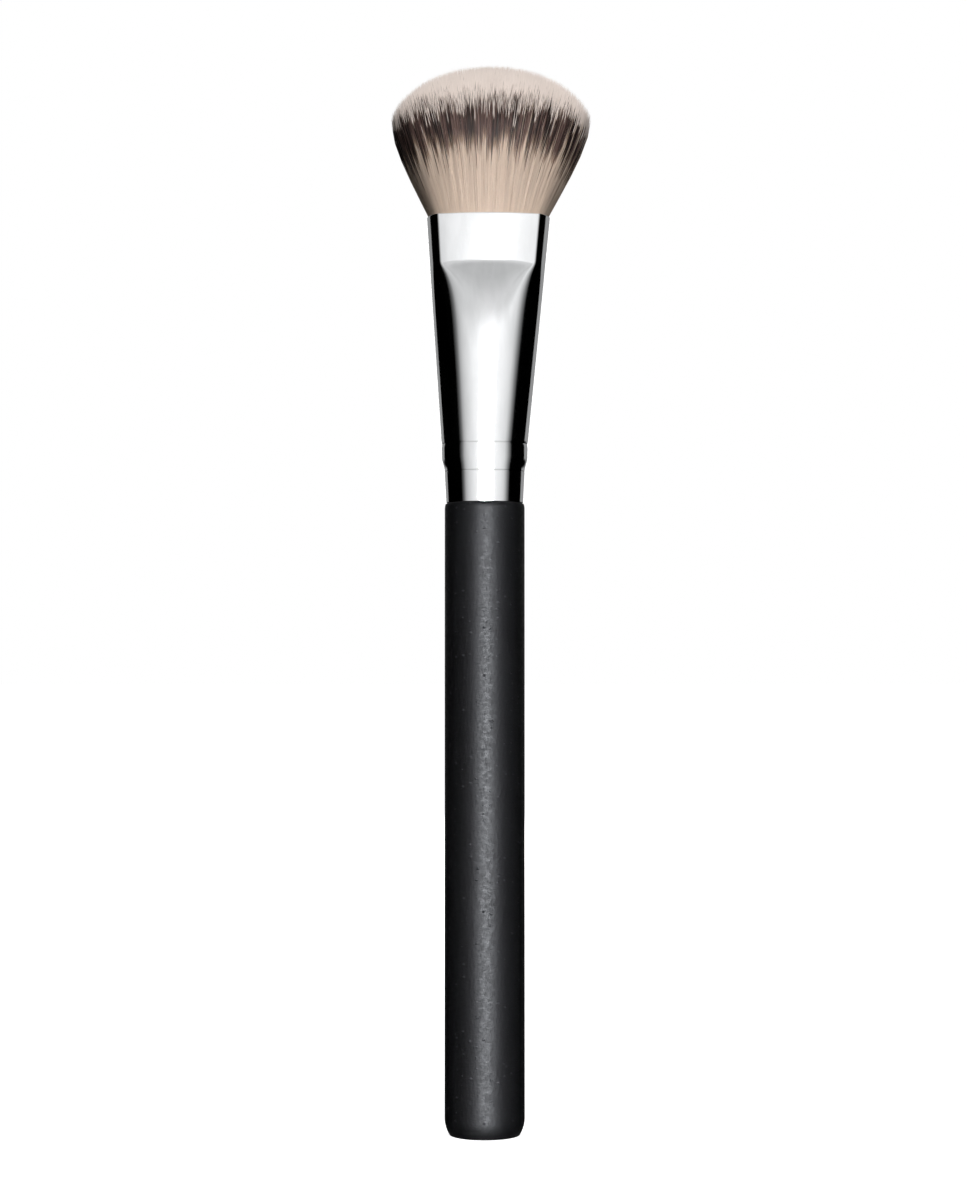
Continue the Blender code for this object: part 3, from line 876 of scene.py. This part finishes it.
class BRUSH_OT_tuft(bpy.types.Operator):
    """Grows the tuft: packed roots in the ferrule, inner fibres and a fuller skin of outer fibres"""

    bl_idname = "brush.tuft"
    bl_label = "Tuft"

    def execute(self, context):
        size, tuft = settings("brush_ferrule"), settings("brush_tuft")
        rng = np.random.default_rng(tuft.seed)
        outer, inner = fibre_material("Dipped fibres, skin"), fibre_material("Dipped fibres, core")
        add_fibres("outer_fibres", rng, tuft.outer_count, tuft.outer_share, 1.0, None, 6, outer)
        add_fibres("inner_fibres", rng, tuft.inner_count, 0.0, tuft.outer_share, tuft.core_depth, 4, inner)
        packed = hidden_material("Packed roots", tuft.cream, 0.7, 0.3 * MM)
        add_piece("packed_roots", skin(self.core_rings(size, tuft)), packed, "bristle_tuft")
        return {"FINISHED"}

    def core_rings(self, size, tuft):
        """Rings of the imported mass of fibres, from the resin plug up into the tuft."""
        turns = round_turns(96)
        low = PLUG_TOP + FOOT_GAP * 2 - SHOULDER
        inset, core_top = size.wall + FOOT_GAP * 2, 0.62
        heights = np.linspace(low, FERRULE_LENGTH - tuft.root_sink, 12)
        rings = [ferrule_ring(size, height, inset, turns) for height in heights]
        edge = ferrule_ring(size, FERRULE_LENGTH, inset, turns)
        reach = np.linspace(0, 1, 10)
        for share, across in zip(core_top * reach, tuft.outer_share * np.sqrt(1 - 0.9 * reach ** 4)):
            wider, deeper = spread_at(size, tuft, share)
            ring = edge * (wider * across, deeper * across, 1.0)
            ring[:, 2] += share * tuft.rim_rise
            rings.append(ring)
        return rings


# Stage. An azimuth is counted from the camera's side, to the right, in degrees. A level is a radiance.

WALL_AZIMUTHS = (-80.0, 80.0)
WALL_HEIGHTS = (-0.6, 1.1)
FLAG_HEIGHTS = (-1.2, 1.4)
LAMP_AIM = (0.0, 0.0, 0.12)
# Place, width and height of each lamp, in metres.
LAMPS = {
    "key": ((0.1, -0.9, 0.2), 0.6, 0.4),
    "top": ((0.0, -0.45, 0.75), 0.5, 0.3),
    "back": ((0.0, 0.8, 0.35), 0.5, 0.4),
    "side": ((0.7, -0.12, 0.06), 0.3, 0.3),
}
# Levels round the front wall, by azimuth: below, where the cone and the handle mirror it, and above, where
# the pressed faces mirror it. Then how much of each shows, by height.
AROUND_BELOW = (
    (-70, 0.0), (-62, 0.15), (-56, 0.45), (-50, 0.63), (-38, 0.845), (-31, 0.94), (-27, 1.01), (-22, 1.06),
    (-16, 1.12), (-8, 1.18), (13, 1.18), (20, 1.15), (28, 1.1), (34, 1.05), (45, 0.94), (55, 0.78),
    (62, 0.5), (68, 0.22), (76, 0.0),
)
AROUND_ABOVE = (
    (-70, 0.0), (-62, 0.4), (-55, 0.9), (-50, 1.0), (52, 1.0), (58, 0.9), (64, 0.75), (70, 0.4), (76, 0.0),
)
SHARE_BELOW = (
    (-0.6, 0.45), (-0.3, 0.65), (-0.1, 1.0), (0.22, 1.0), (0.245, 1.05), (0.262, 1.06), (0.272, 0.96),
    (0.277, 0.88), (0.29, 0.67), (0.318, 0.32), (0.366, 0.12), (0.42, 0.0),
)
SHARE_ABOVE = (
    (0.275, 0.0), (0.29, 0.15), (0.318, 0.41), (0.366, 0.6), (0.42, 0.68), (0.49, 0.62), (0.64, 0.555),
    (1.1, 0.55),
)
# Shares of the table's glow, by azimuth: pale in front of and behind the brush, dark beside it.
TABLE_AROUND = (
    (-180, 0.8), (-150, 0.6), (-120, 0.08), (-75, 0.06), (-40, 0.7), (-10, 1.0),
    (15, 1.0), (45, 0.7), (75, 0.06), (120, 0.08), (150, 0.6), (180, 0.8),
)


def glow_material(name, strength):
    """(material, its nodes, its emission's strength): a card that glows evenly."""
    material = bpy.data.materials.new(name)
    material.use_nodes = True
    nodes = Nodes(material.node_tree)
    nodes.tree.nodes.clear()
    glow = nodes.add("ShaderNodeEmission", {"Strength": strength})
    nodes.add("ShaderNodeOutputMaterial", {"Surface": glow.outputs[0]})
    return material, nodes, glow.inputs["Strength"]


def square(reach, height):
    """Shape of a level square round the brush's axis."""
    corners = ((-1, -1), (1, -1), (1, 1), (-1, 1))
    return [(x * reach, y * reach, height) for x, y in corners], [(0, 1, 2, 3)]


def add_card(name, shape, material):
    """A studio card that only glossy surfaces show."""
    card = add_object(name, shape, material)
    card.visible_camera = False
    card.visible_diffuse = False
    card.visible_shadow = False


def add_curved_card(name, azimuths, heights, distance, material):
    """A card curved round the brush."""
    angles = np.radians(np.linspace(*azimuths, 25))
    edge = np.stack([distance * np.sin(angles), -distance * np.cos(angles)], 1)
    points = np.concatenate([np.column_stack([edge, np.full(len(edge), z)]) for z in heights])
    count = len(edge)
    faces = [(i, i + 1, count + i + 1, count + i) for i in range(count - 1)]
    add_card(name, (points, faces), material)


def levels_along(nodes, value, low, high, levels):
    """A level that changes along a value, given as pairs of a value and the level there."""
    share = nodes.add("ShaderNodeMapRange", {"Value": value, "From Min": low, "From Max": high}).outputs[0]
    ramp = nodes.add("ShaderNodeValToRGB", {"Fac": share})
    points = ramp.color_ramp.elements
    while len(points) < len(levels):
        points.new(0.5)
    for point, (at, level) in zip(points, levels):
        point.position, point.color = (at - low) / (high - low), (level, level, level, 1.0)
    return ramp.outputs[0]


def azimuth_of(nodes, place):
    return nodes.maths("DEGREES", nodes.maths("ARCTAN2", place["X"], nodes.product(place["Y"], -1.0)))


def back_card_material(stage):
    """Grey card behind the brush, with a soft bright strip in its middle and no light low down."""
    material, nodes, level = glow_material("Back card", stage.edge_glow)
    place = nodes.place_axes()
    strip_width = 0.16
    strip = nodes.bell(nodes.maths("DIVIDE", place["X"], strip_width), 2.0)
    strip = nodes.product(strip, nodes.ramp(place["Z"], 0.3, 0.6, stage.strip_glow, 0.3))
    grey = nodes.ramp(place["Z"], 0.03, 0.1, 0.0, stage.edge_glow)
    low = nodes.ramp(place["Z"], -0.3, -0.1)
    nodes.link(nodes.maths("MULTIPLY_ADD", strip, low, grey), level)
    return material


def table_material(glow):
    """Table under the stage, dimmer right under the brush."""
    material, nodes, level = glow_material("Table", glow)
    place = nodes.place_axes()
    squares = [nodes.maths("POWER", place[axis], 2.0) for axis in "XY"]
    away = nodes.maths("SQRT", nodes.maths("ADD", *squares))
    lit = levels_along(nodes, azimuth_of(nodes, place), -180.0, 180.0, TABLE_AROUND)
    nodes.link(nodes.product(lit, nodes.ramp(away, 0.15, 0.7, 0.2, 1.0), glow), level)
    return material


def front_wall_material(softbox):
    """Front wall of the studio: a pale reflector, dimmer above, with the softbox's front in its middle."""
    softbox_azimuth, softbox_reach, softbox_foot = 3.5, 15.5, 1.2
    material, nodes, level = glow_material("Front wall", softbox)
    place = nodes.place_axes()
    azimuth = azimuth_of(nodes, place)
    parts = []
    for around, upward in ((AROUND_BELOW, SHARE_BELOW), (AROUND_ABOVE, SHARE_ABOVE)):
        across = levels_along(nodes, azimuth, *WALL_AZIMUTHS, around)
        parts.append(nodes.product(across, levels_along(nodes, place["Z"], *WALL_HEIGHTS, upward)))
    off = nodes.maths("DIVIDE", nodes.maths("SUBTRACT", azimuth, softbox_azimuth), softbox_reach)
    upper = nodes.ramp(place["Z"], 0.1, 0.17, 1.0, 0.0)
    lower = nodes.maths("MULTIPLY_ADD", nodes.ramp(place["Z"], -0.25, -0.13), softbox, softbox_foot)
    front = nodes.product(nodes.bell(nodes.maths("ABSOLUTE", off), 8.0), nodes.product(upper, lower))
    nodes.link(nodes.maths("ADD", nodes.maths("ADD", *parts), front), level)
    return material


def add_lamp(name, watts, place, width, height):
    """A soft lamp that lights matt surfaces and doesn't show in the metal."""
    data = bpy.data.lights.new(name, "AREA")
    data.shape, data.size, data.size_y, data.energy = "RECTANGLE", width, height, watts
    lamp = bpy.data.objects.new(name, data)
    lamp.location = place
    lamp.rotation_euler = (Vector(LAMP_AIM) - Vector(place)).to_track_quat("-Z", "Y").to_euler()
    lamp.visible_glossy = False
    bpy.context.scene.collection.objects.link(lamp)


def white_to_eye(nodes):
    """1 for the rays that should see a white background, else 0."""
    rays = nodes.add("ShaderNodeLightPath").outputs
    seen = nodes.maths("MAXIMUM", rays["Is Camera Ray"], rays["Is Glossy Ray"])
    return nodes.maths("MAXIMUM", seen, rays["Is Transmission Ray"])


class BRUSH_OT_stage(bpy.types.Operator):
    """Sets up the camera, the white floor and background, the lamps and the cards"""

    bl_idname = "brush.stage"
    bl_label = "Stage"

    def execute(self, context):
        stage = settings("brush_stage")
        bpy.context.scene.view_settings.view_transform = "Standard"
        self.add_world(stage)
        self.add_floor()
        self.add_cards(stage)
        for name, lamp in LAMPS.items():
            add_lamp(name + "_lamp", getattr(stage, name + "_power"), *lamp)
        self.add_camera(stage)
        return {"FINISHED"}

    def add_world(self, stage):
        world = bpy.data.worlds.new("white studio")
        bpy.context.scene.world = world
        world.use_nodes = True
        nodes = Nodes(world.node_tree)
        background = world.node_tree.nodes["Background"].inputs
        background["Color"].default_value = WHITE
        nodes.link(nodes.ramp(white_to_eye(nodes), 0.0, 1.0, stage.fill, 1.0), background["Strength"])

    def add_floor(self):
        material, nodes, shader = new_material("white floor")
        shader["Base Color"].default_value = (0.8, 0.8, 0.8, 1.0)
        shader["Roughness"].default_value = 1.0
        shader["Specular IOR Level"].default_value = 0.0
        shader["Emission Color"].default_value = WHITE
        away = nodes.add("ShaderNodeVectorMath", {0: nodes.place()}, operation="LENGTH").outputs["Value"]
        glow = nodes.ramp(away, 0.1, 0.5, 0.8, 1.0)
        nodes.link(nodes.product(white_to_eye(nodes), glow), shader["Emission Strength"])
        floor = add_object("floor", square(9.0, 0.0), material)
        floor.location.z = -0.02 * MM
        floor.visible_diffuse = False
        floor.visible_glossy = False

    def add_cards(self, stage):
        black, _, _ = glow_material("Black flag", 0.0)
        add_curved_card("front_wall", (-70, 80), WALL_HEIGHTS, 1.1, front_wall_material(stage.softbox))
        add_curved_card("left_flag", (-137, -68), FLAG_HEIGHTS, 1.12, black)
        add_curved_card("right_flag", (78, 131), FLAG_HEIGHTS, 1.12, black)
        add_curved_card("back_card", (129, 225), WALL_HEIGHTS, 1.14, back_card_material(stage))
        add_card("table", square(1.2, WALL_HEIGHTS[0]), table_material(stage.table_glow))

    def add_camera(self, stage):
        camera = bpy.data.objects.new("camera", bpy.data.cameras.new("camera"))
        camera.data.lens = stage.lens
        camera.data.clip_start, camera.data.clip_end = 0.01, 10.0
        camera.location = (stage.camera_side, -stage.camera_distance, stage.camera_height)
        camera.rotation_euler = Euler((math.pi / 2 + stage.camera_tilt, 0.0, 0.0))
        bpy.context.scene.collection.objects.link(camera)
        bpy.context.scene.camera = camera


class BRUSH_PT_panel(bpy.types.Panel):
    """Buttons for each piece of the brush and for the stage, and all their settings"""

    bl_idname = "BRUSH_PT_panel"
    bl_label = "Blush brush"
    bl_space_type = "VIEW_3D"
    bl_region_type = "UI"
    bl_category = "Brush"

    def draw(self, context):
        for operator in OPERATORS:
            self.layout.operator(operator.bl_idname)
        for name, kind in SETTINGS.items():
            box = self.layout.box()
            for key in kind.__annotations__:
                box.prop(settings(name), key)


SETTINGS = {
    "brush_handle": BrushHandleSettings,
    "brush_ferrule": BrushFerruleSettings,
    "brush_tuft": BrushTuftSettings,
    "brush_stage": BrushStageSettings,
}
OPERATORS = (BRUSH_OT_handle, BRUSH_OT_ferrule, BRUSH_OT_inside, BRUSH_OT_tuft, BRUSH_OT_stage)


def register():
    for kind in (*SETTINGS.values(), *OPERATORS, BRUSH_PT_panel):
        bpy.utils.register_class(kind)
    for name, kind in SETTINGS.items():
        setattr(bpy.types.Scene, name, PointerProperty(type=kind))


def unregister():
    for name in SETTINGS:
        delattr(bpy.types.Scene, name)
    for kind in (BRUSH_PT_panel, *OPERATORS, *SETTINGS.values()):
        bpy.utils.unregister_class(kind)


def main():
    register()
    bpy.ops.brush.handle()
    bpy.ops.brush.ferrule()
    bpy.ops.brush.inside()
    bpy.ops.brush.tuft()
    bpy.ops.brush.stage()


if __name__ == "__main__":
    main()
